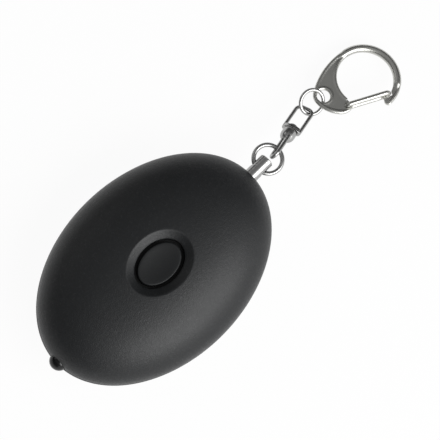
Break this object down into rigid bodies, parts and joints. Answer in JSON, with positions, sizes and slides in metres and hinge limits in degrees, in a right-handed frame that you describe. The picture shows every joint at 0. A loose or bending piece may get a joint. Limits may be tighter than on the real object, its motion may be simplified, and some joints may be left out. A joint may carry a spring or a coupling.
{
  "type": "personal safety alarm",
  "caption": "Oval personal safety alarm with a push button, a dark lamp and a pull pin on a chain with swivel and snap hook.",
  "frame": {"origin": "centre of the oval housing on its flat rest face", "axes": "+X along the housing to the pull pin and the chain, +Z from the rest face up to the button, +Y to the left seen from above with the pin pointing away"},
  "size_m": [0.1131, 0.045, 0.0217],
  "materials": {
    "shell_plastic": "matt, fine-textured",
    "button_plastic": "matt, smooth",
    "smoked_lens": "polished, smoked",
    "pin_chrome": "polished plating",
    "hook_nickel": "satin nickel plating",
    "nickel_steel": "plain nickel plating",
    "inner_plastic": "moulded",
    "pale_plastic": "moulded",
    "board_green": "solder resist",
    "can_aluminium": "drawn can",
    "copper_wire": "enamelled copper",
    "sounder_brass": "rolled sheet",
    "lead_red": "insulated wire"
  },
  "bodies": {
    "housing": {"front_shell": "shell_plastic", "rear_shell": "shell_plastic", "shell_screws": "nickel_steel", "switch_body": "inner_plastic", "circuit_board": "board_green", "alarm_chip": "inner_plastic", "drive_transistor": "inner_plastic", "storage_capacitor": "can_aluminium", "chip_resistors": "inner_plastic", "coil_core": "inner_plastic", "coil_winding": "copper_wire", "piezo_disc": "sounder_brass", "piezo_ceramic": "pale_plastic", "buzzer_leads": "lead_red", "cell_holder": "inner_plastic", "button_cells": "nickel_steel", "cell_links": "nickel_steel", "cell_terminals": "nickel_steel", "led_lens": "smoked_lens", "led_leads": "nickel_steel", "trigger_socket": "pale_plastic", "trigger_contacts": "sounder_brass"},
    "button": {"button_cap": "button_plastic", "switch_plunger": "inner_plastic"},
    "pull_pin": {"pin_barrel": "pin_chrome", "pin_tip": "pale_plastic"},
    "first_ring": {"pin_ring": "pin_chrome"},
    "eye": {"swivel_eye": "pin_chrome"},
    "yoke": {"swivel_yoke": "pin_chrome"},
    "second_ring": {"hook_ring": "pin_chrome"},
    "hook": {"hook_body": "hook_nickel"},
    "gate": {"hook_gate": "hook_nickel"}
  },
  "joints": [
    {"name": "button_press", "type": "slide", "parent": "housing", "child": "button", "axis": [0, 0, -1], "range_m": [0, 0.0006], "stiffness_N_per_m": 600, "springref_m": -0.0005},
    {"name": "pin_pull", "type": "slide", "parent": "housing", "child": "pull_pin", "axis": [1, 0, 0], "range_m": [0, 0.02]},
    {"name": "first_ring_swing", "type": "hinge", "parent": "pull_pin", "child": "first_ring", "pos_m": [0.0348, 0, 0.01], "axis": [0, 1, 0], "range_deg": [-45, 75]},
    {"name": "eye_swing", "type": "hinge", "parent": "first_ring", "child": "eye", "pos_m": [0.04149, 0, 0.00953], "axis": [0, 1, 0], "range_deg": [-35, 45]},
    {"name": "swivel_spin", "type": "hinge", "parent": "eye", "child": "yoke", "pos_m": [0.04149, 0, 0.00953], "axis": [0.9243, 0.1696, -0.342], "continuous": true},
    {"name": "second_ring_swing", "type": "hinge", "parent": "yoke", "child": "second_ring", "pos_m": [0.05448, 0.00238, 0.00473], "axis": [-0.2873, 0.899, -0.3306], "range_deg": [-24, 8]},
    {"name": "hook_swing", "type": "hinge", "parent": "second_ring", "child": "hook", "pos_m": [0.05928, 0.00165, 0.00513], "axis": [0.3109, 0.84, 0.4447], "range_deg": [-4, 20]},
    {"name": "gate_open", "type": "hinge", "parent": "hook", "child": "gate", "pos_m": [0.06209, -0.00413, 0.00544], "axis": [0.16, 0.1448, 0.9764], "range_deg": [0, 24], "stiffness_Nm_per_rad": 0.02, "springref_deg": -11.46}
  ]
}
